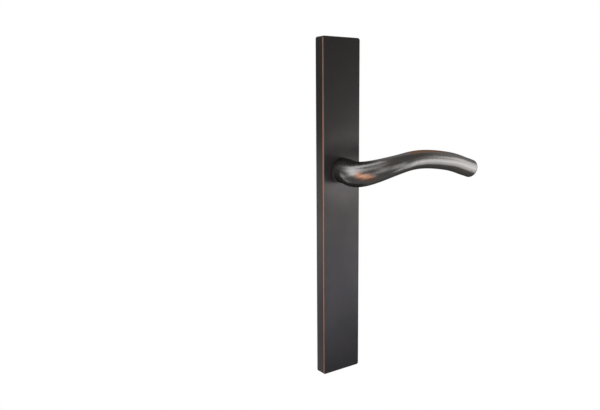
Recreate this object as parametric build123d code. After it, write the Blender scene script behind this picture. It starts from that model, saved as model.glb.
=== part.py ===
from build123d import *
import math
import os

# Door lever on a narrow rectangular backplate, for a multipoint lock. Millimetres.
# The origin is where the lever's axis meets the door's surface. +Y runs into the door,
# the lever points along +X, and +Z is up.

# Backplate
plate_width = 38.1
plate_height = 279.4
plate_depth = 9.5
hub_above_centre = 33.0
corner_radius = 2.0
edge_round = 1.0
front_wall = 2.0
rim_wall = 2.4
ledge_width = 0.6
rib_spread = 18.0
rib_thickness = 1.6
rib_height = 2.2

# Lever bar: distances are measured along the plan of its centreline, from the neck's root
grip_projection = 43.7
elbow_radius = 30.0
dip_distance = 15.0
dip_height = -1.75
climb_distance = 46.0
climb_height = 4.7
crest_distance = 76.0
crest_height = 9.3
fall_distance = 110.0
fall_height = 5.8
tip_distance = 137.7
tip_height = -2.15
tip_slope = -0.31
neck_radius = 10.45
waist_radius = 7.5
tip_radius = 7.8
taper_start = 12.0
taper_end = 61.0
tip_round = 1.4
bar_sections = 16
shoulder_gap = 0.3

# Journal and the spindle it drives
journal_radius = 8.0
journal_flats = 13.0
journal_chamfer = 0.5
groove_depth = 0.8
ring_thickness = 1.0
ring_play = 0.1
ring_band = 1.6
ring_gap = 4.0
ring_ear_radius = 1.7
ring_eye_radius = 0.8
spindle_side = 8.0
spindle_reach = 20.0
spindle_chamfer = 1.0
socket_depth = 21.0
socket_clearance = 0.1
set_screw_radius = 2.5
set_screw_length = 6.0
set_screw_distance = 7.5
set_screw_key = 2.5

# Bearings and washers
running_clearance = 0.05
press_clearance = 0.02
bushing_wall = 1.4
flange_width = 2.0
flange_thickness = 0.8
thrust_width = 3.4
thrust_thickness = 0.6
wave_width = 2.8
wave_thickness = 0.4
wave_height = 1.0

# Backing plate and what is fixed to it
backing_thickness = 1.5
backing_recess = 0.2
seat_clearance = 0.25
window_land = 20.0
window_width = 9.0
post_inset = 31.75
post_radius = 4.75
post_flange = 12.0
post_flange_thickness = 1.5
post_reach = 14.0
post_thread_radius = 2.5
post_thread_depth = 12.0
post_chamfer = 0.6
boss_radius = 4.0
end_screw_inset = 12.0
mid_screw_offset = 33.0
screw_radius = 1.5
screw_head_radius = 2.8
screw_length = 6.0
recess_width = 0.7
recess_length = 3.2
recess_depth = 1.0
hole_clearance = 0.1

# Return spring cassette
wire_radius = 0.7
coil_pitch = 1.9
coil_gap = 0.6
leg_gap = 0.6
finger_width = 2.4
finger_clearance = 0.3
finger_thickness = 1.2
lug_gap = 0.25
lug_thickness = 1.1
housing_gap = 0.5
housing_wall = 1.2
ear_step = 2.6
ear_radius = 3.2
ear_height = 3.4
disc_gap = 0.5
disc_thickness = 1.2
disc_play = 0.1
stop_pin_radius = 1.3
stop_gap = 0.3
travel = 45.0
stop_slack = 0.6

# Levels across the thickness, from the door's surface outwards (y gets smaller)
plate_front = -plate_depth
wall_back = plate_front + front_wall
backing_back = -backing_recess
backing_front = backing_back - backing_thickness
flange_back = wall_back + flange_thickness
disc_front = flange_back + disc_play
disc_back = disc_front + disc_thickness
post_flange_front = backing_front - post_flange_thickness
shoulder = plate_front - shoulder_gap
thrust_front = backing_back + flange_thickness
wave_front = thrust_front + thrust_thickness
wave_back = wave_front + wave_height
groove_front = wave_back
ring_front = groove_front + ring_play / 2
groove_back = groove_front + ring_thickness + ring_play
journal_end = groove_back + ring_thickness
socket_end = plate_front - socket_depth

# Places along the plate
plate_middle = -hub_above_centre
plate_top = plate_middle + plate_height / 2
plate_bottom = plate_middle - plate_height / 2
post_heights = [plate_top - post_inset, plate_bottom + post_inset]
screw_heights = [
    plate_top - end_screw_inset,
    mid_screw_offset,
    -mid_screw_offset,
    plate_bottom + end_screw_inset,
]
cavity_width = plate_width - 2 * rim_wall
cavity_height = plate_height - 2 * rim_wall
recess_plan_width = cavity_width + 2 * ledge_width
recess_plan_height = cavity_height + 2 * ledge_width
cavity_corner = max(corner_radius - rim_wall / 2, edge_round)

# Rings round the axis
bushing_radius = journal_radius + running_clearance + bushing_wall
hub_bore = bushing_radius + press_clearance
flange_radius = bushing_radius + flange_width
housing_outer = cavity_width / 2 - housing_gap
housing_radius = housing_outer - housing_wall
disc_radius = housing_radius - disc_gap
stop_pin_offset = disc_radius - stop_pin_radius
lug_inner = housing_radius - lug_thickness
finger_outer = lug_inner - lug_gap
coil_radius = finger_outer - finger_thickness - coil_gap - wire_radius
leg_offset = finger_width / 2 + finger_clearance + wire_radius
leg_reach = housing_radius - leg_gap
ear_heights = [housing_outer + ear_step, -housing_outer - ear_step]


def at_level(y, x=0.0, z=0.0):
    """Plane parallel to the door at level y, facing out of it, with +X right and +Z up."""
    return Plane(origin=(x, y, z), x_dir=(1, 0, 0), z_dir=(0, -1, 0))


def slab(sketch, back, front, x=0.0, z=0.0):
    """Solid of a sketch in the plane of the door, from level back out to level front."""
    return extrude(at_level(back, x, z) * sketch, amount=back - front)


def turned(outline, x=0.0, z=0.0):
    """Solid turned about an axis along Y, from (radius, level) points."""
    profile = make_face(Polyline(*outline, close=True))
    return Pos(x, 0, z) * revolve(profile, axis=Axis.Y)


def ring(outer, inner, back, front, z=0.0):
    """Plain flat ring between two levels."""
    return slab(Circle(outer) - Circle(inner), back, front, 0.0, z)


def flat_sided(radius, flats):
    """Round outline cut by four flats."""
    return Circle(radius) & Rectangle(flats, flats)


def countersunk_screw(head_level, z):
    """Countersunk screw driven from behind, its head flush with head_level, with a cross recess."""
    cone = screw_head_radius - screw_radius
    tip = head_level - screw_length
    screw = turned(
        [
            (0, head_level),
            (screw_head_radius, head_level),
            (screw_radius, head_level - cone),
            (screw_radius, tip),
            (0, tip),
        ],
        0.0,
        z,
    )
    cross = Rectangle(recess_length, recess_width) + Rectangle(recess_width, recess_length)
    return screw - slab(cross, head_level, head_level - recess_depth, 0.0, z)


def countersunk_hole(back, front, z):
    """Cutter for a countersunk hole through a sheet, head side at the back."""
    head = screw_head_radius + hole_clearance
    shank = screw_radius + hole_clearance
    return turned(
        [(0, back), (head, back), (shank, back - head + shank), (shank, front), (0, front)], 0.0, z
    )


def escutcheon_plate():
    """Forged plate with rounded front edges, hollow behind, with ribs, bosses and a seat ledge."""
    outline = RectangleRounded(plate_width, plate_height, corner_radius)
    body = slab(outline, 0, plate_front, 0.0, plate_middle)
    front_edges = body.faces().sort_by(Axis.Y)[0].edges()
    body = fillet(front_edges, edge_round)
    cavity = RectangleRounded(cavity_width, cavity_height, cavity_corner)
    body -= slab(cavity, 0, wall_back, 0.0, plate_middle)
    recess = RectangleRounded(recess_plan_width, recess_plan_height, cavity_corner)
    body -= slab(recess, 0, backing_front, 0.0, plate_middle)
    rib = Rectangle(rib_thickness, cavity_height)
    ribs = Pos(-rib_spread / 2, 0) * rib + Pos(rib_spread / 2, 0) * rib
    ribs = slab(ribs, wall_back + rib_height, wall_back, 0.0, plate_middle)
    clear_hub = slab(Circle(housing_outer + seat_clearance), 0, wall_back)
    body += ribs - clear_hub
    for z in screw_heights:
        body += slab(Circle(boss_radius), backing_front, wall_back, 0.0, z)
        body -= slab(Circle(screw_radius), backing_front, backing_back - screw_length, 0.0, z)
    for z in post_heights:
        pad = Rectangle(rib_spread + rib_thickness, post_flange)
        body += slab(pad, post_flange_front, wall_back, 0.0, z)
    return body - slab(Circle(hub_bore), wall_back, plate_front)


def backing_plate():
    """Stamped plate that closes the hollow, with holes for the hub, posts, screws and stop pin."""
    width = recess_plan_width - 2 * seat_clearance
    height = recess_plan_height - 2 * seat_clearance
    sheet = RectangleRounded(width, height, cavity_corner)
    body = slab(sheet, backing_back, backing_front, 0.0, plate_middle)
    body -= slab(Circle(hub_bore), backing_back, backing_front)
    stop_hole = Circle(stop_pin_radius + press_clearance)
    body -= slab(stop_hole, backing_back, backing_front, 0.0, -stop_pin_offset)
    for z in post_heights:
        body -= slab(Circle(post_radius + hole_clearance), backing_back, backing_front, 0.0, z)
    for z in screw_heights + ear_heights:
        body -= countersunk_hole(backing_back, backing_front, z)
    span = -mid_screw_offset - post_heights[1]
    window = SlotOverall(span / 2 - window_land, window_width, rotation=90)
    for quarter in (1, 3):
        middle = post_heights[1] + span * quarter / 4
        body -= slab(window, backing_back, backing_front, 0.0, middle)
    return body


def screw_group(heights):
    """Countersunk screws through the backing plate, one at each height."""
    return Compound(children=[countersunk_screw(backing_back, z) for z in heights])


def mounting_post(z):
    """Threaded post with a hexagonal flange that the backing plate traps."""
    hexagon = RegularPolygon(post_flange / 2, 6, major_radius=False)
    flange = slab(hexagon, backing_front, post_flange_front)
    barrel = turned(
        [
            (0, post_flange_front),
            (post_radius, post_flange_front),
            (post_radius, post_reach - post_chamfer),
            (post_radius - post_chamfer, post_reach),
            (0, post_reach),
        ]
    )
    thread = slab(Circle(post_thread_radius), post_reach, post_reach - post_thread_depth)
    return Pos(0, 0, z) * (flange + barrel - thread)


def neck_bushing():
    """Flanged bearing pressed into the plate's hub bore from behind."""
    inner = journal_radius + running_clearance
    sleeve = ring(bushing_radius, inner, flange_back, plate_front)
    return sleeve + ring(flange_radius, inner, flange_back, wall_back)


def rear_bushing():
    """Flanged bearing in the backing plate, its flange on the door side."""
    inner = journal_radius + running_clearance
    sleeve = ring(bushing_radius, inner, thrust_front, backing_front)
    return sleeve + ring(flange_radius, inner, thrust_front, backing_back)


def spring_housing():
    """Ring round the spring, with two screw ears and the fixed lug between the spring's legs."""
    body = ring(housing_outer, housing_radius, backing_front, flange_back)
    for z in ear_heights:
        body += slab(Circle(ear_radius), backing_front, backing_front - ear_height, 0.0, z)
    body -= slab(Circle(housing_radius), backing_front, flange_back)
    for z in ear_heights:
        body -= slab(Circle(screw_radius), backing_front, backing_front - ear_height, 0.0, z)
    lug_root = housing_radius + housing_wall / 2
    lug_middle = (lug_root + lug_inner) / 2
    lug = Rectangle(finger_width, lug_root - lug_inner)
    return body + slab(lug, backing_front, disc_back + disc_play, 0.0, lug_middle)


def spring_housing_cover():
    """Stamped ring clamped between the housing and the plate's front wall."""
    return ring(housing_outer, flange_radius + stop_gap, flange_back, wall_back)


def return_spring():
    """Torsion spring of one turn whose two legs stand either side of the finger and the lug."""
    slope = math.atan(coil_pitch / (2 * math.pi * coil_radius))
    along = Vector(0, math.cos(slope), math.sin(slope))
    outward = Vector(1, 0, 0)
    start = Vector(coil_radius, 0, 0)
    end = Vector(coil_radius, 0, coil_pitch)
    bend = leg_offset
    diagonal = (outward + along) * (bend / math.sqrt(2))
    first_foot = start + outward * bend - along * bend
    last_foot = end + outward * bend + along * bend
    leg = outward * (leg_reach - coil_radius - bend)
    first_leg = Line(first_foot + leg, first_foot)
    first_bend = ThreePointArc(first_foot, start + outward * bend - diagonal, start)
    coil = Helix(pitch=coil_pitch, height=coil_pitch, radius=coil_radius)
    last_middle = end + outward * bend + (along - outward) * (bend / math.sqrt(2))
    last_bend = ThreePointArc(end, last_middle, last_foot)
    last_leg = Line(last_foot, last_foot + leg)
    path = Wire([first_leg, first_bend, coil, last_bend, last_leg])
    wire = Plane(origin=first_foot + leg, z_dir=-outward) * Circle(wire_radius)
    spring = sweep(wire, path=path)
    room = (disc_back + backing_front - coil_pitch) / 2
    return Plane(origin=(0, room, 0), x_dir=(0, 0, 1), z_dir=(0, 1, 0)) * spring


def stop_pin():
    """Pin pressed into the backing plate, standing in the driver's notch."""
    return slab(Circle(stop_pin_radius), backing_back, disc_front, 0.0, -stop_pin_offset)


def driver_disc():
    """Disc on the journal's flats, with a stop notch below and the spring finger above."""
    notch_half = math.radians(travel + stop_slack) + math.asin(stop_pin_radius / stop_pin_offset)
    reach = 2 * disc_radius
    side = reach * math.sin(notch_half)
    drop = -reach * math.cos(notch_half)
    sector = make_face(Polyline((0, 0), (side, drop), (-side, drop), close=True))
    core = Circle(stop_pin_offset - stop_pin_radius - stop_gap)
    outline = Circle(disc_radius) - (sector - core)
    bore = flat_sided(journal_radius + running_clearance, journal_flats + 2 * running_clearance)
    body = slab(outline - bore, disc_back, disc_front)
    finger = Rectangle(finger_width, finger_thickness)
    finger_back = backing_front - stop_gap
    return body + slab(finger, finger_back, disc_back, 0.0, finger_outer - finger_thickness / 2)


def thrust_washer():
    """Flat washer behind the rear bushing."""
    inner = journal_radius + 2 * running_clearance
    return ring(inner + thrust_width, inner, wave_front, thrust_front)


def spring_washer():
    """Curved washer: a ring cut from a bowed strip."""
    inner = journal_radius + 2 * running_clearance
    outer = inner + wave_width
    bow = wave_height - wave_thickness
    bow_radius = (outer * outer + bow * bow) / (2 * bow)
    centre = wave_front + bow_radius
    bowed = Circle(bow_radius) - Circle(bow_radius - wave_thickness)
    level = Pos(0, wave_front + wave_height / 2) * Rectangle(3 * outer, wave_height)
    strip = extrude(Pos(0, centre) * bowed & level, amount=outer, both=True)
    return ring(outer, inner, wave_back, wave_front) & strip


def retaining_ring():
    """Open external ring in the journal's groove, with two plier eyes beside its gap."""
    inner = journal_radius - groove_depth + running_clearance
    outer = journal_radius + ring_band
    opening = make_face(Polyline((0, 0), (ring_gap, -2 * outer), (-ring_gap, -2 * outer), close=True))
    shape = Circle(outer) - opening
    eyes = [Pos(side * (ring_gap / 2 + ring_ear_radius), -outer) for side in (-1, 1)]
    for eye in eyes:
        shape += eye * Circle(ring_ear_radius)
    shape -= Circle(inner)
    for eye in eyes:
        shape -= eye * Circle(ring_eye_radius)
    return slab(shape, ring_front + ring_thickness, ring_front)


def plan_path():
    """Plan of the bar's centreline: straight out of the plate, a quarter turn, then along the door."""
    grip_level = plate_front - grip_projection
    elbow_start = Vector(0, grip_level + elbow_radius, 0)
    elbow_end = Vector(elbow_radius, grip_level, 0)
    neck = Line((0, shoulder, 0), elbow_start)
    elbow = RadiusArc(elbow_start, elbow_end, -elbow_radius)
    grip = Line(elbow_end, elbow_end + Vector(tip_distance, 0, 0))
    return Wire([neck, elbow, grip])


def rise_curve():
    """Rise of the bar's centreline, drawn flat: distance along the plan against height."""
    return Spline(
        (0, 0),
        (dip_distance, dip_height),
        (climb_distance, climb_height),
        (crest_distance, crest_height),
        (fall_distance, fall_height),
        (tip_distance, tip_height),
        tangents=[(1, 0), (1, tip_slope)],
    )


def bar_radius(distance):
    """Radius of the round bar: full at the neck, waisted after the elbow, swelling to the tip."""
    share = min(max((distance - taper_start) / (taper_end - taper_start), 0.0), 1.0)
    eased = share * share * (3 - 2 * share)
    swell = max(distance - taper_end, 0.0) / (tip_distance - taper_end)
    return neck_radius + (waist_radius - neck_radius) * eased + (tip_radius - waist_radius) * swell


def bar_section(plan, rise, share):
    """Round section of the bar, square to its centreline, at a share of the rise curve."""
    flat = rise @ share
    slope = rise % share
    spot = plan.position_at(flat.X, position_mode=PositionMode.LENGTH)
    heading = plan.tangent_at(flat.X, position_mode=PositionMode.LENGTH)
    direction = Vector(heading.X * slope.X, heading.Y * slope.X, slope.Y)
    level_side = Vector(-heading.Y, heading.X, 0)
    place = Plane(origin=(spot.X, spot.Y, flat.Y), x_dir=level_side, z_dir=direction)
    return place * Circle(bar_radius(flat.X))


def lever():
    """Forged bar with its neck, the journal behind it, the spindle socket and the set screw's hole."""
    plan = plan_path()
    rise = rise_curve()
    shares = [i / (bar_sections - 1) for i in range(bar_sections)]
    bar = loft([bar_section(plan, rise, share) for share in shares])
    end_edges = bar.faces().filter_by(GeomType.PLANE).sort_by(Axis.X)[-1].edges()
    bar = fillet(end_edges, tip_round)
    journal = slab(Circle(journal_radius), disc_front, shoulder)
    tail = slab(flat_sided(journal_radius, journal_flats), journal_end, disc_front)
    journal += chamfer(tail.faces().sort_by(Axis.Y)[-1].edges(), journal_chamfer)
    groove = Circle(2 * journal_radius) - Circle(journal_radius - groove_depth)
    journal -= slab(groove, groove_back, groove_front)
    socket = Rectangle(spindle_side, spindle_side)
    body = bar + journal - slab(socket, journal_end, socket_end)
    downward = (Align.CENTER, Align.CENTER, Align.MAX)
    hole = Cylinder(set_screw_radius + press_clearance, 2 * neck_radius, align=downward)
    return body - Pos(0, plate_front - set_screw_distance, 0) * hole


def spindle():
    """Square bar from the bottom of the socket to well behind the door's surface."""
    side = spindle_side - 2 * socket_clearance
    bar = slab(Rectangle(side, side), spindle_reach, socket_end + running_clearance)
    return chamfer(bar.faces().sort_by(Axis.Y)[-1].edges(), spindle_chamfer)


def set_screw():
    """Headless screw under the neck that bears on the spindle, with a hexagonal key hole."""
    top = -spindle_side / 2 + socket_clearance
    downward = (Align.CENTER, Align.CENTER, Align.MAX)
    body = Pos(0, 0, top) * Cylinder(set_screw_radius, set_screw_length, align=downward)
    hexagon = RegularPolygon(set_screw_key / 2, 6, major_radius=False)
    body -= Pos(0, 0, top - set_screw_length) * extrude(hexagon, amount=set_screw_length / 2)
    return Pos(0, plate_front - set_screw_distance, 0) * body


pieces = {
    "escutcheon_plate": escutcheon_plate(),
    "backing_plate": backing_plate(),
    "backing_plate_screws": screw_group(screw_heights),
    "upper_mounting_post": mounting_post(post_heights[0]),
    "lower_mounting_post": mounting_post(post_heights[1]),
    "neck_bushing": neck_bushing(),
    "rear_bushing": rear_bushing(),
    "spring_housing": spring_housing(),
    "spring_housing_cover": spring_housing_cover(),
    "housing_screws": screw_group(ear_heights),
    "return_spring": return_spring(),
    "stop_pin": stop_pin(),
    "lever": lever(),
    "driver_disc": driver_disc(),
    "thrust_washer": thrust_washer(),
    "spring_washer": spring_washer(),
    "retaining_ring": retaining_ring(),
    "spindle": spindle(),
    "set_screw": set_screw(),
}

os.makedirs("parts", exist_ok=True)
for name, piece in pieces.items():
    export_step(piece, "parts/" + name + ".step")
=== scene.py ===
"""Finishes, bore threads, studio and view of a door lever on its narrow backplate.

The door's surface is the plane y = 0, the lever's axis passes through the origin along Y,
the front faces -Y, the lever points along +X and +Z is up. Lengths are in metres.
"""

import math

import bpy
import numpy as np
from bpy.props import FloatProperty, FloatVectorProperty, IntProperty, PointerProperty
from bpy.types import NodeSocket, Operator, Panel, PropertyGroup
from mathutils import Matrix, Vector


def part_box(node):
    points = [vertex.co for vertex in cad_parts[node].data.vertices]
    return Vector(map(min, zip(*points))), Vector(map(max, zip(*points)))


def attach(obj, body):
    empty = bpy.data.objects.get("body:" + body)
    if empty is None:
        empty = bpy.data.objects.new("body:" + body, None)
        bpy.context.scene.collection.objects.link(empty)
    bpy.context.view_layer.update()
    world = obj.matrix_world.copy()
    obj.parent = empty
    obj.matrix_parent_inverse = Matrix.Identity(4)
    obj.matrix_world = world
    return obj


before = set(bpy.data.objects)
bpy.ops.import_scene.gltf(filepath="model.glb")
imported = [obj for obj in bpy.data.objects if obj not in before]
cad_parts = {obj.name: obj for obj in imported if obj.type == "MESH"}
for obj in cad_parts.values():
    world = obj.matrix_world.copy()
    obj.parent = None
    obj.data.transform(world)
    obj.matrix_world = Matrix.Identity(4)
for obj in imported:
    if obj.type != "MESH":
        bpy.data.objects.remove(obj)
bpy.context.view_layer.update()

bl_info = {
    "name": "Backplate Lever Dresser",
    "version": (1, 0, 0),
    "blender": (4, 5, 0),
    "location": "View3D > Sidebar > Door Lever",
    "description": "Finishes, bore threads, studio and view of a door lever on its backplate",
    "category": "Object",
}

MM = 0.001
IMAGE_WIDTH = 600  # of the photograph, in pixels
PLATE_LOW, PLATE_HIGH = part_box("escutcheon_plate")
PLATE_MIDDLE = (PLATE_LOW + PLATE_HIGH) / 2

# Heights on the backplate, counted from the lever's axis
WEAR_THINS_BY = 110 * MM  # copper on the left edge is down to its least share
PATINA_FROM = -30 * MM
PATINA_FULL = -110 * MM

# Depths of the fine relief in the bronze
PLATE_RELIEF = 0.0015 * MM
LEVER_RELIEF = 0.0005 * MM

SCUFF_SHADE = 0.35  # colour of a full scuff, as a share of the lever's own
METAL_CONTRAST = 0.12  # how far soft blotches stray from a plain metal's colour

# Streaks in millimetres: start and end of the streak, radius, raggedness and grain. The lever's are
# marks of use; the ring round the neck is painted light.
# Painted light: a lighter ring on the plate round the neck that fills the shade and darkened
# reflection the lever casts there
NECK_PAINTED_LIGHT = [((0, -12, 0), (0, -6, 3), 38, 0.15, 6)]
LEVER_RUBBING = [
    ((-6.8, -39.0, -1.9), (-1.0, -46.8, -2.8), 4.9, 0.7, 2.0),  # elbow
    ((33, -56.0, 16.2), (68, -56.4, 15.0), 3.0, 0.8, 2.0),  # top of the crest
]
LEVER_SCUFFS = [
    ((-1.2, -47.0, 2.1), (3.2, -51.4, 2.8), 1.3, 0.5, 1.5),
    ((-3.5, -42.0, 4.3), (6.0, -52.6, 6.4), 1.3, 0.5, 1.5),
    ((6.0, -52.6, 6.4), (18.3, -58.7, 8.5), 1.3, 0.5, 1.5),
]


def length(title, text, default):
    """Length property in metres."""
    return FloatProperty(name=title, description=text, default=default, unit="LENGTH", precision=5)


def angle(title, text, degrees):
    """Angle property with its default given in degrees."""
    default = math.radians(degrees)
    return FloatProperty(name=title, description=text, default=default, subtype="ANGLE")


def share(title, text, default):
    """Plain factor from 0 to 1."""
    limits = {"min": 0, "max": 1}
    return FloatProperty(name=title, description=text, default=default, subtype="FACTOR", **limits)


def level(title, text, default):
    """Factor from 0 up. As a brightness, 1 is white."""
    return FloatProperty(name=title, description=text, default=default, min=0)


def colour(title, text, default):
    """Linear colour property."""
    kind = {"size": 3, "subtype": "COLOR"}
    return FloatVectorProperty(name=title, description=text, default=default, **kind)


class BronzeSettings(PropertyGroup):
    """Dark bronze finish of the backplate and the lever."""

    plate: colour("Plate bronze", "Colour of the backplate's satin", (0.0415, 0.0385, 0.0390))
    lever: colour("Lever bronze", "Colour of the lever's smoother finish", (0.158, 0.154, 0.151))
    copper: colour("Worn copper", "Colour where the finish is worn off", (0.225, 0.120, 0.078))
    patina: colour("Patina", "Cooler colour toward the plate's lower end", (0.0380, 0.0368, 0.0415))
    # Painted light: how many times lighter the plate is made round the neck, to fill the shade the
    # lever casts there
    neck_painted_light: level("Painted_neck_light", "How many times lighter the plate is round the neck", 1.95)
    scuff: share("Scuff", "How much the dark scuffs on the lever take away", 0.38)
    plate_metal: share("Plate metal", "Share of bare metal in the backplate's dark finish", 0.72)
    lever_metal: share("Lever metal", "Share of bare metal in the lever's dark finish", 0.93)
    plate_roughness: share("Plate roughness", "Roughness of the backplate's satin", 0.29)
    lever_roughness: share("Lever roughness", "Roughness of the lever's finish", 0.27)
    edge_tint: share("Edge tint", "Share of light returned at a grazing angle", 0.35)
    edge_round: length("Edge rounding", "Radius of the backplate's rounded front edges", 1.0 * MM)
    grain: length("Grain", "Size of the finish's fine grain", 0.30 * MM)
    blotch: length("Blotch", "Size of the soft blotches on the backplate", 14 * MM)
    lever_blotch: length("Lever blotch", "Size of the soft blotches on the smoother lever", 34 * MM)


class HardwareSettings(PropertyGroup):
    """Finishes of the pieces behind the backplate."""

    zinc: colour("Zinc plating", "Colour of the zinc-plated sheet", (0.54, 0.55, 0.55))
    cast: colour("Cast zinc", "Colour of the die-cast spring housing", (0.36, 0.36, 0.365))
    bright: colour("Bright steel", "Colour of the plated screws and posts", (0.60, 0.595, 0.57))
    spindle: colour("Spindle steel", "Colour of the drawn square bar", (0.50, 0.50, 0.48))
    spring: colour("Spring steel", "Colour of the oiled spring wire", (0.20, 0.20, 0.21))
    black: colour("Black oxide", "Colour of the blackened rings and screw", (0.045, 0.045, 0.048))
    nylon: colour("Nylon", "Colour of the natural nylon bearings", (0.68, 0.66, 0.60))


class ThreadSettings(PropertyGroup):
    """Thread cut in the bores of the two mounting posts."""

    pitch: length("Pitch", "Rise of one turn", 0.8 * MM)
    depth: length("Depth", "Height of the thread's ridge", 0.42 * MM)
    bore: length("Bore", "Radius of the bore that holds the thread", 2.5 * MM)
    reach: length("Reach", "Length of the threaded bore", 11.6 * MM)
    steps: IntProperty(name="Steps", description="Steps round one turn", default=36, min=12)


class ViewSettings(PropertyGroup):
    """Camera at the photograph's viewing angle."""

    azimuth: angle("Azimuth", "Turn from straight in front, positive to the right", -34.88)
    elevation: angle("Elevation", "Height of the camera above the level of its aim", 8.97)
    roll: angle("Roll", "Turn of the camera about its line of sight", -0.56)
    distance: length("Distance", "Distance from the aim", 0.4923)
    aim_x: length("Aim X", "Place that the camera looks at, across the plate", -0.0356)
    aim_z: length("Aim Z", "Place that the camera looks at, along the plate", -0.0264)
    focal_px: level("Focal length", "Focal length in pixels of the photograph", 609.3)


class StudioSettings(PropertyGroup):
    """Floor, backdrop and lamps."""

    floor_drop: length("Floor drop", "Height of the plate's lower end above the floor", 0.95)
    floor_reach: length("Floor reach", "Half width of the floor", 6.0)
    floor_fade: length("Floor fade", "Distance at which the floor turns into the backdrop", 1.6)
    floor_shade: share("Floor shade", "Share of its colour that lamps and shadow make", 0.25)
    floor: colour("Floor", "Colour of the floor", (0.86, 0.86, 0.86))
    backdrop: level("Backdrop", "Brightness of the white backdrop", 1.0)
    backdrop_azimuth: angle("Backdrop azimuth", "Direction from the part to the backdrop", 130)
    backdrop_elevation: angle("Backdrop height", "Height of its middle as seen from the part", 22)
    room_tint: colour("Room tint", "Colour of the light from the room's walls", (1.0, 0.93, 0.87))
    room_front: level("Room in front", "Brightness of the room in front", 0.30)
    room_back: level("Room behind", "Brightness of the room behind and below", 0.18)
    low_card: level("Low card", "Brightness of the card low on the left", 2.0)
    knee_box: level("Knee box", "Brightness of the softbox just below the left one", 2.8)
    left_box: level("Left box", "Brightness of the softbox on the left", 3.5)
    high_box: level("High box", "Brightness of the softbox above the left one", 3.5)
    brow_box: level("Brow box", "Brightness of the softbox above the left one, in front", 1.8)
    upper_box: level("Upper box", "Brightness of the softbox high behind on the left", 2.9)
    top_box: level("Top box", "Brightness of the softbox overhead", 2.0)
    fill_box: level("Fill box", "Brightness of the weak softbox high in front", 0.95)
    front_box: level("Front box", "Brightness of the weak softbox in front", 0.95)
    right_fill: level("Right fill", "Brightness of the weak softbox in front on the right", 1.2)
    right_box: level("Right box", "Brightness of the softbox on the right", 4.2)
    right_low: level("Right low", "Brightness of the softbox low on the right", 2.6)
    right_high: level("Right high", "Brightness of the softbox high on the right", 3.6)
    right_far: level("Right far", "Brightness of the weak softbox far on the right", 0.5)
    front_card: level("Front card", "Brightness of the card low in front on the right", 2.2)
    front_strip: level("Front strip", "Brightness of the strip in front on the right", 1.55)
    side_card: level("Side card", "Brightness of the card behind on the left", 1.45)
    side_low: level("Side low", "Brightness of the card low behind on the left", 1.9)


def settings():
    """All the settings, kept on the scene."""
    return bpy.context.scene.door_lever


class LeverSettings(PropertyGroup):
    """Settings of the whole handle set."""

    bronze: PointerProperty(type=BronzeSettings)
    hardware: PointerProperty(type=HardwareSettings)
    thread: PointerProperty(type=ThreadSettings)
    view: PointerProperty(type=ViewSettings)
    studio: PointerProperty(type=StudioSettings)


def opaque(rgb):
    """Colour with full alpha, as node sockets take it."""
    return (*rgb, 1.0)


def feed(tree, socket, value):
    """Link a socket's output into an input, or set the input's value."""
    if isinstance(value, NodeSocket):
        tree.links.new(value, socket)
    else:
        socket.default_value = value


def add(tree, kind, inputs=None, **options):
    """New shader node of a kind, with its options and its inputs by name."""
    made = tree.nodes.new("ShaderNode" + kind)
    for name, value in options.items():
        setattr(made, name, value)
    for name, value in (inputs or {}).items():
        feed(tree, made.inputs[name], value)
    return made


def maths(tree, operation, *values):
    """Output of a Math node on values or sockets."""
    made = add(tree, "Math", operation=operation)
    for socket, value in zip(made.inputs, values):
        feed(tree, socket, value)
    return made.outputs["Value"]


def vector_maths(tree, operation, *values, output="Vector"):
    """Output of a Vector Math node on values or sockets."""
    made = add(tree, "VectorMath", operation=operation)
    for socket, value in zip(made.inputs, values):
        feed(tree, socket, value)
    return made.outputs[output]


def scaled(tree, vector, factor):
    """Vector made longer or shorter by a factor."""
    made = add(tree, "VectorMath", {"Vector": vector, "Scale": factor}, operation="SCALE")
    return made.outputs["Vector"]


def fade(tree, value, start, end, low=0.0, high=1.0):
    """Smooth change from low to high while the value goes from start to end."""
    inputs = {"Value": value, "From Min": start, "From Max": end, "To Min": low, "To Max": high}
    return add(tree, "MapRange", inputs, interpolation_type="SMOOTHSTEP").outputs["Result"]


def mixed(tree, factor, first, second, blend="MIX"):
    """Colour mixed from two colours or sockets."""
    made = tree.nodes.new("ShaderNodeMix")
    made.data_type = "RGBA"
    made.blend_type = blend
    feed(tree, made.inputs["Factor"], factor)
    feed(tree, made.inputs[6], first)
    feed(tree, made.inputs[7], second)
    return made.outputs[2]


def noise(tree, place, scale, detail=3.0, roughness=0.55):
    """Value of a noise about 1 / scale wide at a place."""
    inputs = {"Vector": place, "Scale": scale, "Detail": detail, "Roughness": roughness}
    return add(tree, "TexNoise", inputs).outputs["Fac"]


def new_group(name, inputs, outputs):
    """Shader node group with (name, socket kind, default) inputs and (name, kind) outputs."""
    tree = bpy.data.node_groups.new(name, "ShaderNodeTree")
    for title, kind, default in inputs:
        socket = tree.interface.new_socket(title, in_out="INPUT", socket_type="NodeSocket" + kind)
        socket.default_value = default
    for title, kind in outputs:
        tree.interface.new_socket(title, in_out="OUTPUT", socket_type="NodeSocket" + kind)
    entry = tree.nodes.new("NodeGroupInput")
    leave = tree.nodes.new("NodeGroupOutput")
    return tree, entry.outputs, leave.inputs


def placed(tree, group, inputs):
    """Outputs of a node group placed in a material, with its inputs by name."""
    made = tree.nodes.new("ShaderNodeGroup")
    made.node_tree = bpy.data.node_groups[group]
    for name, value in inputs.items():
        feed(tree, made.inputs[name], value)
    return made.outputs


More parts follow.
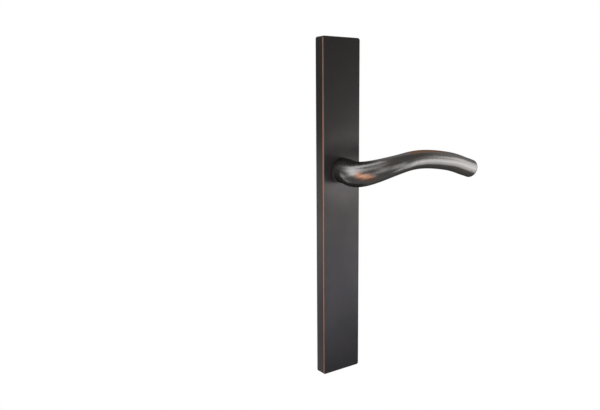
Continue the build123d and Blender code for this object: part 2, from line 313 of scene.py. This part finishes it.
def grain_group():
    """Fine grain of a finish: two noises, one less than half as wide, as a height from 0 to 1."""
    tree, given, result = new_group(
        "fine_grain",
        [("Vector", "Vector", (0, 0, 0)), ("Size", "Float", 0.0005)],
        [("Height", "Float")],
    )
    scale = maths(tree, "DIVIDE", 1.0, given["Size"])
    coarse = noise(tree, given["Vector"], scale, 4.0, 0.6)
    fine = noise(tree, given["Vector"], maths(tree, "MULTIPLY", scale, 2.3), 2.0)
    rest = maths(tree, "MULTIPLY", fine, 0.4)
    feed(tree, result["Height"], maths(tree, "MULTIPLY_ADD", coarse, 0.6, rest))


def blotch_group():
    """Soft blotches of a finish: a wide noise bent by a second one, as a value from 0 to 1."""
    tree, given, result = new_group(
        "soft_blotches",
        [("Vector", "Vector", (0, 0, 0)), ("Size", "Float", 0.01), ("Softness", "Float", 0.3)],
        [("Value", "Float")],
    )
    scale = maths(tree, "DIVIDE", 1.0, given["Size"])
    wide = noise(tree, given["Vector"], scale, 2.0, 0.5)
    small = noise(tree, given["Vector"], maths(tree, "MULTIPLY", scale, 5.0), 4.0, 0.6)
    blend = maths(tree, "MULTIPLY_ADD", small, 0.35, maths(tree, "MULTIPLY", wide, 0.65))
    low = maths(tree, "SUBTRACT", 0.5, given["Softness"])
    high = maths(tree, "ADD", 0.5, given["Softness"])
    feed(tree, result["Value"], fade(tree, blend, low, high))


def wear_and_light_streak_group():
    """Streak for rubbed wear and for painted light: 1 near a line from start to end, fading
    unevenly to 0 at the radius.

    The noise that makes the edge uneven is drawn out along the line, as rubbing leaves it.
    """
    tree, given, result = new_group(
        "rubbed_streak",
        [
            ("Vector", "Vector", (0, 0, 0)),
            ("Start", "Vector", (0, 0, 0)),
            ("End", "Vector", (0.01, 0, 0)),
            ("Radius", "Float", 0.004),
            ("Ragged", "Float", 0.5),
            ("Grain", "Float", 0.002),
        ],
        [("Mask", "Float")],
    )
    line = vector_maths(tree, "SUBTRACT", given["End"], given["Start"])
    offset = vector_maths(tree, "SUBTRACT", given["Vector"], given["Start"])
    along = vector_maths(tree, "DOT_PRODUCT", offset, line, output="Value")
    squared = vector_maths(tree, "DOT_PRODUCT", line, line, output="Value")
    part = maths(tree, "DIVIDE", along, squared)
    held = add(tree, "Clamp", {"Value": part}).outputs["Result"]
    step = scaled(tree, line, held)
    distance = vector_maths(tree, "DISTANCE", offset, step, output="Value")
    shift = maths(tree, "MULTIPLY", part, 0.8)
    moved = scaled(tree, line, shift)
    drawn = vector_maths(tree, "SUBTRACT", given["Vector"], moved)
    scale = maths(tree, "DIVIDE", 1.0, given["Grain"])
    uneven = maths(tree, "SUBTRACT", noise(tree, drawn, scale, 4.0, 0.6), 0.5)
    reached = maths(tree, "DIVIDE", distance, given["Radius"])
    reached = maths(tree, "MULTIPLY_ADD", uneven, given["Ragged"], reached)
    feed(tree, result["Mask"], fade(tree, reached, 1.05, 0.15))


def lathe_group():
    """Turning marks about the Y axis: fine rings, spaced by the pitch and broken up by a noise."""
    tree, given, result = new_group(
        "lathe_marks",
        [("Vector", "Vector", (0, 0, 0)), ("Pitch", "Float", 0.0003)],
        [("Height", "Float")],
    )
    flat = vector_maths(tree, "MULTIPLY", given["Vector"], (1, 0, 1))
    radius = vector_maths(tree, "LENGTH", flat, output="Value")
    along = add(tree, "SeparateXYZ", {"Vector": given["Vector"]}).outputs["Y"]
    rings = add(tree, "CombineXYZ", {"X": radius, "Y": along}).outputs["Vector"]
    scale = maths(tree, "DIVIDE", 1.0, given["Pitch"])
    feed(tree, result["Height"], noise(tree, rings, scale, 3.0, 0.7))


def edge_group():
    """Wear on the front rim of a block, with a share of its own for each side.

    A point's distances to the side and to the front add up to less than the rounding's
    radius on the rounded edge, and to the least at its middle.
    """
    tree, given, result = new_group(
        "edge_wear",
        [
            ("Vector", "Vector", (0, 0, 0)),
            ("Half Width", "Float", 0.02),
            ("Half Height", "Float", 0.1),
            ("Front", "Float", -0.01),
            ("Round", "Float", 0.001),
            ("Ragged", "Float", 0.0005),
            ("Left", "Float", 1.0),
            ("Right", "Float", 1.0),
            ("Top", "Float", 1.0),
            ("Bottom", "Float", 1.0),
        ],
        [("Mask", "Float")],
    )
    parts = add(tree, "SeparateXYZ", {"Vector": given["Vector"]}).outputs
    to_front = maths(tree, "SUBTRACT", parts["Y"], given["Front"])
    speckle = noise(tree, given["Vector"], 900.0, 4.0, 0.65)
    stretched = vector_maths(tree, "MULTIPLY", given["Vector"], (1, 1, 0.25))
    stretch = noise(tree, stretched, 160.0, 3.0, 0.6)
    uneven = maths(tree, "SUBTRACT", maths(tree, "ADD", speckle, stretch), 1.0)
    start = maths(tree, "MULTIPLY", given["Round"], 0.90)
    end = maths(tree, "MULTIPLY", given["Round"], 0.64)
    sides = (
        ("Left", maths(tree, "ADD", given["Half Width"], parts["X"])),
        ("Right", maths(tree, "SUBTRACT", given["Half Width"], parts["X"])),
        ("Top", maths(tree, "SUBTRACT", given["Half Height"], parts["Z"])),
        ("Bottom", maths(tree, "ADD", given["Half Height"], parts["Z"])),
    )
    worn = 0.0
    for side, to_side in sides:
        rim = maths(tree, "ADD", to_side, to_front)
        rim = maths(tree, "MULTIPLY_ADD", uneven, given["Ragged"], rim)
        mask = maths(tree, "MULTIPLY", fade(tree, rim, start, end), given[side])
        worn = maths(tree, "MAXIMUM", worn, mask)
    feed(tree, result["Mask"], worn)


def bronze_group():
    """Dark bronze, blotched and fine-grained, with copper where a mask says it is worn."""
    tree, given, result = new_group(
        "rubbed_bronze",
        [
            ("Vector", "Vector", (0, 0, 0)),
            ("Bronze", "Color", (0.1, 0.1, 0.1, 1)),
            ("Copper", "Color", (0.2, 0.12, 0.09, 1)),
            ("Worn", "Float", 0.0),
            ("Metal", "Float", 0.8),
            ("Roughness", "Float", 0.3),
            ("Blotch", "Float", 0.014),
            ("Grain", "Float", 0.0004),
        ],
        [("Color", "Color"), ("Metallic", "Float"), ("Roughness", "Float"), ("Height", "Float")],
    )
    place = given["Vector"]
    blotch = placed(tree, "soft_blotches", {"Vector": place, "Size": given["Blotch"]})["Value"]
    height = placed(tree, "fine_grain", {"Vector": place, "Size": given["Grain"]})["Height"]
    darker = mixed(tree, 1.0, given["Bronze"], (0.90, 0.92, 0.95, 1), "MULTIPLY")
    lighter = mixed(tree, 1.0, given["Bronze"], (1.10, 1.065, 1.04, 1), "MULTIPLY")
    bronze = mixed(tree, blotch, darker, lighter)
    flecked = fade(tree, height, 0.64, 0.78, 0.0, 0.12)
    worn = maths(tree, "MAXIMUM", given["Worn"], maths(tree, "MULTIPLY", flecked, blotch))
    feed(tree, result["Color"], mixed(tree, worn, bronze, given["Copper"]))
    feed(tree, result["Metallic"], maths(tree, "MAXIMUM", given["Metal"], worn))
    spread = maths(tree, "ADD", given["Roughness"], 0.01)
    spread = maths(tree, "MULTIPLY_ADD", blotch, -0.02, spread)
    grained = maths(tree, "MULTIPLY_ADD", height, 0.03, maths(tree, "SUBTRACT", spread, 0.015))
    feed(tree, result["Roughness"], grained)
    feed(tree, result["Height"], height)


# Groups in the order in which they are built: later ones use earlier ones
GROUPS = (grain_group, blotch_group, wear_and_light_streak_group, lathe_group, edge_group, bronze_group)


def new_material(name):
    """Empty material with its Principled shader and its Object coordinates."""
    made = bpy.data.materials.new(name)
    made.use_nodes = True
    shader = made.node_tree.nodes["Principled BSDF"]
    place = add(made.node_tree, "TexCoord").outputs["Object"]
    return made, made.node_tree, shader.inputs, place


def bumped(tree, height, depth):
    """Normal of a surface whose height runs over a depth in metres."""
    inputs = {"Height": height, "Distance": depth, "Strength": 1.0}
    return add(tree, "Bump", inputs).outputs["Normal"]


def streaks(tree, place, marks):
    """Mask of streaks, each given as (start, end, radius, ragged, grain) in millimetres; they mark
    rubbed wear on the lever and painted light round the neck.
    """
    mask = 0.0
    for start, end, radius, ragged, grain in marks:
        inputs = {
            "Vector": place,
            "Start": [MM * c for c in start],
            "End": [MM * c for c in end],
            "Radius": MM * radius,
            "Ragged": ragged,
            "Grain": MM * grain,
        }
        mask = maths(tree, "MAXIMUM", mask, placed(tree, "rubbed_streak", inputs)["Mask"])
    return mask


def coat(tree, shader, finish, relief):
    """Feed a bronze finish into the shader, with its grain as a relief of a given depth."""
    feed(tree, shader["Base Color"], finish["Color"])
    feed(tree, shader["Metallic"], finish["Metallic"])
    feed(tree, shader["Roughness"], finish["Roughness"])
    feed(tree, shader["Normal"], bumped(tree, finish["Height"], relief))
    shader["Specular Tint"].default_value = opaque([settings().bronze.edge_tint] * 3)


def bronze_plate():
    """Satin dark bronze of the backplate, worn to copper along its left front edge.

    Round the lever's neck its colour carries painted light, lighter to fill the shade the lever
    casts there, and it turns cooler toward its lower end.
    """
    bronze = settings().bronze
    made, tree, shader, place = new_material("bronze_plate")
    to_middle = {"Vector": place, "Location": (0, 0, -PLATE_MIDDLE.z)}
    centred = add(tree, "Mapping", to_middle).outputs["Vector"]
    parts = add(tree, "SeparateXYZ", {"Vector": place}).outputs
    worn = placed(
        tree,
        "edge_wear",
        {
            "Vector": centred,
            "Half Width": PLATE_HIGH.x,
            "Half Height": PLATE_HIGH.z - PLATE_MIDDLE.z,
            "Front": PLATE_LOW.y,
            "Round": bronze.edge_round,
            "Ragged": 0.18 * bronze.edge_round,
            "Left": fade(tree, parts["Z"], 0, WEAR_THINS_BY, 1.0, 0.6),
            "Right": 0.12,
            "Top": fade(tree, parts["X"], PLATE_LOW.x, PLATE_HIGH.x, 0.7, 0.15),
            "Bottom": 0.15,
        },
    )["Mask"]
    # Painted light: a lighter ring round the neck on the plate's front face, filling the lever's
    # shade
    neck_light_mask = streaks(tree, place, NECK_PAINTED_LIGHT)
    on_face = fade(tree, parts["Y"], PLATE_LOW.y + 2 * MM, PLATE_LOW.y + 0.5 * MM)
    neck_light_mask = maths(tree, "MULTIPLY", neck_light_mask, on_face)
    # Plate colour made lighter for the painted light round the neck
    lighter = opaque([bronze.neck_painted_light * c for c in bronze.plate])
    low = fade(tree, parts["Z"], PATINA_FROM, PATINA_FULL)
    dark = mixed(tree, low, opaque(bronze.plate), opaque(bronze.patina))
    finish = placed(
        tree,
        "rubbed_bronze",
        {
            "Vector": place,
            "Bronze": mixed(tree, neck_light_mask, dark, lighter),
            "Copper": opaque(bronze.copper),
            "Worn": worn,
            "Metal": bronze.plate_metal,
            "Roughness": bronze.plate_roughness,
            "Blotch": bronze.blotch,
            "Grain": bronze.grain,
        },
    )
    coat(tree, shader, finish, PLATE_RELIEF)
    return made


def bronze_lever():
    """Smoother dark bronze of the lever, rubbed to copper on the elbow and along the crest."""
    bronze = settings().bronze
    made, tree, shader, place = new_material("bronze_lever")
    dulled = maths(tree, "MULTIPLY", streaks(tree, place, LEVER_SCUFFS), bronze.scuff)
    dark = opaque([SCUFF_SHADE * c for c in bronze.lever])
    finish = placed(
        tree,
        "rubbed_bronze",
        {
            "Vector": place,
            "Bronze": mixed(tree, dulled, opaque(bronze.lever), dark),
            "Copper": opaque(bronze.copper),
            "Worn": streaks(tree, place, LEVER_RUBBING),
            "Metal": bronze.lever_metal,
            "Roughness": bronze.lever_roughness,
            "Blotch": bronze.lever_blotch,
            "Grain": bronze.grain,
        },
    )
    coat(tree, shader, finish, LEVER_RELIEF)
    return made


def metal(name, rgb, roughness, height_of, depth, blotch=8 * MM):
    """Bare or plated metal: soft blotches in its colour and roughness, and a given relief."""
    made, tree, shader, place = new_material(name)
    patches = placed(tree, "soft_blotches", {"Vector": place, "Size": blotch})["Value"]
    dark = opaque([(1 - METAL_CONTRAST) * c for c in rgb])
    light = opaque([min(1.0, (1 + METAL_CONTRAST) * c) for c in rgb])
    feed(tree, shader["Base Color"], mixed(tree, patches, dark, light))
    matt, sleek = 1.12 * roughness, 0.88 * roughness
    feed(tree, shader["Roughness"], fade(tree, patches, 0.0, 1.0, matt, sleek))
    feed(tree, shader["Normal"], bumped(tree, height_of(tree, place), depth))
    shader["Metallic"].default_value = 1.0
    return made


def sheet_relief(tree, place):
    """Rolled sheet: grain drawn out along the sheet's length."""
    drawn = vector_maths(tree, "MULTIPLY", place, (1, 1, 0.06))
    return placed(tree, "fine_grain", {"Vector": drawn, "Size": 0.4 * MM})["Height"]


def bar_relief(tree, place):
    """Drawn bar: fine lines along its length, which runs into the door."""
    drawn = vector_maths(tree, "MULTIPLY", place, (1, 0.04, 1))
    return placed(tree, "fine_grain", {"Vector": drawn, "Size": 0.3 * MM})["Height"]


def cast_relief(tree, place):
    """Cast or moulded skin: an even fine grain."""
    return placed(tree, "fine_grain", {"Vector": place, "Size": 0.5 * MM})["Height"]


def turned_relief(height):
    """Relief of turning marks about an axis at a given height on the plate."""

    def relief(tree, place):
        centred = vector_maths(tree, "SUBTRACT", place, (0, 0, height))
        return placed(tree, "lathe_marks", {"Vector": centred, "Pitch": 0.25 * MM})["Height"]

    return relief


def nylon():
    """Natural nylon of the bearings: slightly cloudy, with a fine moulded grain."""
    made, tree, shader, place = new_material("nylon")
    rgb = settings().hardware.nylon
    clouds = placed(tree, "soft_blotches", {"Vector": place, "Size": 6 * MM})["Value"]
    dull = opaque([0.94 * c for c in rgb])
    feed(tree, shader["Base Color"], mixed(tree, clouds, dull, opaque(rgb)))
    feed(tree, shader["Roughness"], fade(tree, clouds, 0.0, 1.0, 0.5, 0.4))
    feed(tree, shader["Normal"], bumped(tree, cast_relief(tree, place), 0.01 * MM))
    shader["Subsurface Weight"].default_value = 0.15
    shader["Subsurface Radius"].default_value = (1.0, 0.9, 0.7)
    shader["Subsurface Scale"].default_value = 1.0 * MM
    return made


def dress(node, material):
    """Give every material slot of a CAD node's object one material."""
    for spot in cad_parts[node].material_slots:
        spot.material = material


def piece(name, points, faces, material, body):
    """New piece made of computed points and faces, riding on a body."""
    mesh = bpy.data.meshes.new(name)
    mesh.from_pydata(points.tolist(), [], faces.tolist())
    mesh.shade_smooth()
    mesh.materials.append(material)
    made = bpy.data.objects.new(name, mesh)
    bpy.context.scene.collection.objects.link(made)
    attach(made, body)
    return made


def tube_faces(rings, sides):
    """Four-cornered faces between neighbouring rings of equally many points, all closed round."""
    ring = np.arange(rings - 1)[:, None] * sides
    here = np.arange(sides)[None, :]
    after = (here + 1) % sides
    corners = [ring + here, ring + after, ring + sides + after, ring + sides + here]
    return np.stack(corners, axis=-1).reshape(-1, 4)


def thread_ridge(centre, mouth, thread):
    """Points and faces of a thread's ridge inside a bore along Y.

    A flat-topped triangle is carried along a helix: its point at turn t lies at the bore's
    radius less its height, at angle t, and one pitch deeper with each turn. Its foot is sunk
    a hair into the bore's wall. The height runs out to nothing over the first and last half
    turn, where the ridge closes.
    """
    turns = thread.reach / thread.pitch - 1
    count = int(turns * thread.steps) + 1
    turn = np.linspace(0, turns, count)
    runout = np.clip(np.minimum(turn, turns - turn) / 0.5, 0.001, 1)[:, None]
    profile = np.array([(-0.42, 0.0), (-0.07, 1.0), (0.07, 1.0), (0.42, 0.0)])
    rise = profile[:, 1] * thread.depth * runout
    sunk = 0.01 * MM
    radius = thread.bore + sunk - rise
    depth = (turn[:, None] + 0.5) * thread.pitch + profile[:, 0] * thread.pitch * runout
    around = 2 * np.pi * turn[:, None]
    points = np.stack(
        [centre[0] + radius * np.cos(around), mouth - depth, centre[1] + radius * np.sin(around)],
        axis=-1,
    )
    faces = tube_faces(count, len(profile))
    return points.reshape(-1, 3), faces


class DOOR_LEVER_OT_groups(Operator):
    """Build the shader groups that several finishes share"""

    bl_idname = "door_lever.build_groups"
    bl_label = "Shared Finish Groups"

    def execute(self, context):
        for build in GROUPS:
            build()
        return {"FINISHED"}


class DOOR_LEVER_OT_backplate(Operator):
    """Give the backplate its satin dark bronze with copper edges"""

    bl_idname = "door_lever.dress_backplate"
    bl_label = "Backplate"

    def execute(self, context):
        dress("escutcheon_plate", bronze_plate())
        return {"FINISHED"}


class DOOR_LEVER_OT_lever(Operator):
    """Give the lever its smoother dark bronze with rubbed patches"""

    bl_idname = "door_lever.dress_lever"
    bl_label = "Lever"

    def execute(self, context):
        dress("lever", bronze_lever())
        return {"FINISHED"}


class DOOR_LEVER_OT_back(Operator):
    """Finish the zinc-plated backing plate and its screws"""

    bl_idname = "door_lever.dress_back"
    bl_label = "Backing Plate and Screws"

    def execute(self, context):
        hardware = settings().hardware
        sheet = metal("zinc_sheet", hardware.zinc, 0.40, sheet_relief, 0.01 * MM, 12 * MM)
        dress("backing_plate", sheet)
        bright = metal("plated_screw", hardware.bright, 0.30, cast_relief, 0.004 * MM, 2 * MM)
        dress("backing_plate_screws", bright)
        dress("housing_screws", bright)
        return {"FINISHED"}


class DOOR_LEVER_OT_posts(Operator):
    """Finish the two mounting posts and cut the threads in their bores"""

    bl_idname = "door_lever.dress_posts"
    bl_label = "Mounting Posts"

    def execute(self, context):
        hardware = settings().hardware
        thread = settings().thread
        for name in ("upper_mounting_post", "lower_mounting_post"):
            low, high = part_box(name)
            middle = (low + high) / 2
            relief = turned_relief(middle.z)
            steel = metal(name + "_steel", hardware.bright, 0.33, relief, 0.008 * MM, 4 * MM)
            dress(name, steel)
            points, faces = thread_ridge((middle.x, middle.z), high.y, thread)
            piece(name + "_thread", points, faces, steel, "escutcheon")
        return {"FINISHED"}


class DOOR_LEVER_OT_bearings(Operator):
    """Finish the nylon bushings and thrust washer, the spring washer and the retaining ring"""

    bl_idname = "door_lever.dress_bearings"
    bl_label = "Bearings and Rings"

    def execute(self, context):
        hardware = settings().hardware
        plastic = nylon()
        for name in ("neck_bushing", "rear_bushing", "thrust_washer"):
            dress(name, plastic)
        washer = metal("washer_steel", hardware.spring, 0.35, cast_relief, 0.006 * MM, 4 * MM)
        circlip = metal("ring_steel", hardware.black, 0.42, cast_relief, 0.008 * MM, 4 * MM)
        dress("spring_washer", washer)
        dress("retaining_ring", circlip)
        return {"FINISHED"}


class DOOR_LEVER_OT_cassette(Operator):
    """Finish the return spring cassette and the driver"""

    bl_idname = "door_lever.dress_cassette"
    bl_label = "Return Spring Cassette"

    def execute(self, context):
        hardware = settings().hardware
        cast = metal("cast_zinc", hardware.cast, 0.5, cast_relief, 0.03 * MM, 5 * MM)
        turned = turned_relief(0.0)
        dress("spring_housing", cast)
        dress("spring_housing_cover", metal("cover_zinc", hardware.zinc, 0.40, turned, 0.006 * MM))
        dress("driver_disc", metal("driver_steel", hardware.bright, 0.38, turned, 0.006 * MM))
        dress("stop_pin", metal("pin_steel", hardware.bright, 0.28, bar_relief, 0.004 * MM))
        wire = metal("spring_wire", hardware.spring, 0.32, cast_relief, 0.006 * MM, 3 * MM)
        dress("return_spring", wire)
        return {"FINISHED"}


class DOOR_LEVER_OT_spindle(Operator):
    """Finish the drawn square spindle and the blackened set screw"""

    bl_idname = "door_lever.dress_spindle"
    bl_label = "Spindle and Set Screw"

    def execute(self, context):
        hardware = settings().hardware
        dress("spindle", metal("spindle_steel", hardware.spindle, 0.34, bar_relief, 0.01 * MM))
        screw = metal("screw_black", hardware.black, 0.40, cast_relief, 0.006 * MM, 2 * MM)
        dress("set_screw", screw)
        return {"FINISHED"}


def toward(azimuth, elevation):
    """Direction at an azimuth from straight out of the door, right positive, and an elevation."""
    flat = math.cos(elevation)
    return Vector((math.sin(azimuth) * flat, -math.cos(azimuth) * flat, math.sin(elevation)))


def softbox(name, azimuth, elevation, distance, width, height, radiance):
    """Rectangular lamp that faces the plate, and fades from its middle to dark edges."""
    data = bpy.data.lights.new(name, "AREA")
    data.shape = "RECTANGLE"
    data.size = width
    data.size_y = height
    data.energy = radiance * width * height * math.pi
    data.use_nodes = True
    tree = data.node_tree
    spot = add(tree, "NewGeometry").outputs["Parametric"]
    parts = add(tree, "SeparateXYZ", {"Vector": spot}).outputs
    glow = 1.0
    for axis in "XY":
        off = maths(tree, "ABSOLUTE", maths(tree, "SUBTRACT", parts[axis], 0.5))
        glow = maths(tree, "MULTIPLY", glow, fade(tree, off, 0.5, 0.34))
    feed(tree, tree.nodes["Emission"].inputs["Strength"], glow)
    lamp = bpy.data.objects.new(name, data)
    bpy.context.scene.collection.objects.link(lamp)
    out = toward(math.radians(azimuth), math.radians(elevation))
    lamp.location = PLATE_MIDDLE + out * distance
    lamp.rotation_euler = out.to_track_quat("Z", "Y").to_euler()
    return lamp


# Softboxes: name, azimuth and elevation in degrees, then distance, width and height in metres
SOFTBOXES = (
    ("low_card", -56, -35, 0.75, 0.48, 0.34),
    ("knee_box", -74, -14, 0.75, 0.46, 0.36),
    ("left_box", -100, 8, 0.75, 0.46, 0.36),
    ("high_box", -114, 30, 0.75, 0.40, 0.36),
    ("brow_box", -88, 34, 0.75, 0.40, 0.40),
    ("upper_box", -136, 52, 0.75, 0.46, 0.38),
    ("top_box", -115, 75, 0.75, 0.40, 0.40),
    ("fill_box", -52, 44, 0.75, 0.50, 0.50),
    ("front_box", -30, 4, 0.75, 0.50, 0.50),
    ("right_fill", 10, 4, 0.75, 0.50, 0.50),
    ("right_box", 54, -2, 0.45, 0.20, 0.18),
    ("right_low", 52, -20, 0.45, 0.20, 0.16),
    ("right_high", 62, 15, 0.45, 0.18, 0.16),
    ("right_far", 72, 27, 0.45, 0.20, 0.16),
    ("front_card", 29, -28, 0.45, 0.14, 0.16),
    ("front_strip", 31, -8, 0.45, 0.14, 0.17),
    ("side_card", -153, -12, 0.55, 0.40, 0.30),
    ("side_low", -162, -38, 0.55, 0.40, 0.28),
)


def seen_by(tree, *kinds):
    """1 for rays of the given kinds, 0 for the others."""
    light_path = add(tree, "LightPath").outputs
    seen = 0.0
    for kind in kinds:
        seen = maths(tree, "MAXIMUM", seen, light_path["Is %s Ray" % kind])
    return seen


def room(studio):
    """World light: a dim warm room, brighter in front, with a white backdrop behind the part.

    The camera and clear pieces see white all round, and gloss sees the backdrop where it hangs.
    The fades run over the cosine of the angle from the middle of the front or of the backdrop.
    """
    world = bpy.data.worlds.new("studio_room")
    world.use_nodes = True
    tree = world.node_tree
    shader = tree.nodes["Background"].inputs
    seen = add(tree, "TexCoord").outputs["Generated"]
    front = toward(math.radians(-20), math.radians(20))
    facing = vector_maths(tree, "DOT_PRODUCT", seen, tuple(front), output="Value")
    glow = fade(tree, facing, -0.3, 0.9, studio.room_back, studio.room_front)
    behind = toward(studio.backdrop_azimuth, studio.backdrop_elevation)
    toward_cloth = vector_maths(tree, "DOT_PRODUCT", seen, tuple(behind), output="Value")
    cloth = fade(tree, toward_cloth, 0.62, 0.90)
    glossy = maths(tree, "MULTIPLY", seen_by(tree, "Glossy"), cloth)
    clear = maths(tree, "MAXIMUM", glossy, seen_by(tree, "Camera", "Transmission"))
    feed(tree, shader["Strength"], fade(tree, clear, 0.0, 1.0, glow, studio.backdrop))
    tint = mixed(tree, clear, opaque(studio.room_tint), (1, 1, 1, 1))
    feed(tree, shader["Color"], tint)
    bpy.context.scene.world = world


def floor_paint(studio):
    """Pale floor with a soft shadow below the part, which turns into the backdrop further off."""
    made, tree, shader, place = new_material("studio_floor")
    rgb = studio.floor
    mottled = noise(tree, place, 3.0, 2.0)
    dusty = opaque([0.98 * c for c in rgb])
    feed(tree, shader["Base Color"], mixed(tree, mottled, dusty, opaque(rgb)))
    shader["Roughness"].default_value = 0.9
    shader["Specular IOR Level"].default_value = 0.0
    flat = vector_maths(tree, "MULTIPLY", place, (1, 1, 0))
    distance = vector_maths(tree, "LENGTH", flat, output="Value")
    shaded = fade(tree, distance, 0.2, studio.floor_fade, studio.floor_shade, 0.0)
    reach = studio.floor_reach
    near = fade(tree, distance, 0.5 * reach, 0.8 * reach, 1.0, 0.0)
    clear = maths(tree, "SUBTRACT", 1.0, shaded)
    eye = maths(tree, "MULTIPLY", seen_by(tree, "Camera", "Transmission"), clear)
    far = maths(tree, "SUBTRACT", 1.0, near)
    gloss = maths(tree, "MULTIPLY", seen_by(tree, "Glossy"), far)
    white = add(tree, "Emission", {"Strength": studio.backdrop}).outputs["Emission"]
    painted = tree.nodes["Principled BSDF"].outputs["BSDF"]
    both = add(tree, "MixShader")
    feed(tree, both.inputs[0], maths(tree, "MAXIMUM", eye, gloss))
    feed(tree, both.inputs[1], painted)
    feed(tree, both.inputs[2], white)
    feed(tree, tree.nodes["Material Output"].inputs["Surface"], both.outputs["Shader"])
    return made


class DOOR_LEVER_OT_studio(Operator):
    """Lay the floor and set up the backdrop, the softboxes and the camera"""

    bl_idname = "door_lever.build_studio"
    bl_label = "Studio and Camera"

    def execute(self, context):
        studio = settings().studio
        reach = studio.floor_reach
        depth = PLATE_LOW.z - studio.floor_drop
        flat = np.array([(-1, -1), (1, -1), (1, 1), (-1, 1)]) * reach
        corners = np.column_stack([flat, np.full(4, depth)])
        mesh = bpy.data.meshes.new("studio_floor")
        mesh.from_pydata(corners.tolist(), [], [(0, 1, 2, 3)])
        mesh.materials.append(floor_paint(studio))
        ground = bpy.data.objects.new("studio_floor", mesh)
        context.scene.collection.objects.link(ground)
        room(studio)
        for name, *place in SOFTBOXES:
            softbox(name, *place, getattr(studio, name))
        self.place_camera(context)
        return {"FINISHED"}

    def place_camera(self, context):
        """Camera that looks at its aim along the photograph's direction."""
        view = settings().view
        back = toward(view.azimuth, view.elevation)
        level_right = Vector((math.cos(view.azimuth), math.sin(view.azimuth), 0))
        level_up = back.cross(level_right)
        right = math.cos(view.roll) * level_right + math.sin(view.roll) * level_up
        up = math.cos(view.roll) * level_up - math.sin(view.roll) * level_right
        data = bpy.data.cameras.new("camera")
        data.sensor_width = 36.0
        data.lens = view.focal_px * data.sensor_width / IMAGE_WIDTH
        data.clip_start = 0.01
        data.clip_end = 50.0
        camera = bpy.data.objects.new("camera", data)
        context.scene.collection.objects.link(camera)
        place = Matrix((right, up, back)).transposed().to_4x4()
        place.translation = Vector((view.aim_x, 0, view.aim_z)) + back * view.distance
        camera.matrix_world = place
        context.scene.camera = camera
        context.scene.view_settings.view_transform = "Standard"


STEPS = (
    DOOR_LEVER_OT_groups,
    DOOR_LEVER_OT_backplate,
    DOOR_LEVER_OT_lever,
    DOOR_LEVER_OT_back,
    DOOR_LEVER_OT_posts,
    DOOR_LEVER_OT_bearings,
    DOOR_LEVER_OT_cassette,
    DOOR_LEVER_OT_spindle,
    DOOR_LEVER_OT_studio,
)


class DOOR_LEVER_PT_panel(Panel):
    """Steps that dress the handle set, in order"""

    bl_idname = "DOOR_LEVER_PT_panel"
    bl_label = "Door Lever"
    bl_space_type = "VIEW_3D"
    bl_region_type = "UI"
    bl_category = "Door Lever"

    def draw(self, context):
        for step in STEPS:
            self.layout.operator(step.bl_idname)


CLASSES = (
    BronzeSettings,
    HardwareSettings,
    ThreadSettings,
    ViewSettings,
    StudioSettings,
    LeverSettings,
    *STEPS,
    DOOR_LEVER_PT_panel,
)


def register():
    """Register the classes and keep the settings on the scene."""
    for each in CLASSES:
        bpy.utils.register_class(each)
    bpy.types.Scene.door_lever = PointerProperty(type=LeverSettings)


def unregister():
    """Remove the settings and the classes."""
    del bpy.types.Scene.door_lever
    for each in reversed(CLASSES):
        bpy.utils.unregister_class(each)


def main():
    """Dress the handle set step by step."""
    register()
    for step in STEPS:
        family, name = step.bl_idname.split(".")
        getattr(getattr(bpy.ops, family), name)()


if __name__ == "__main__":
    main()
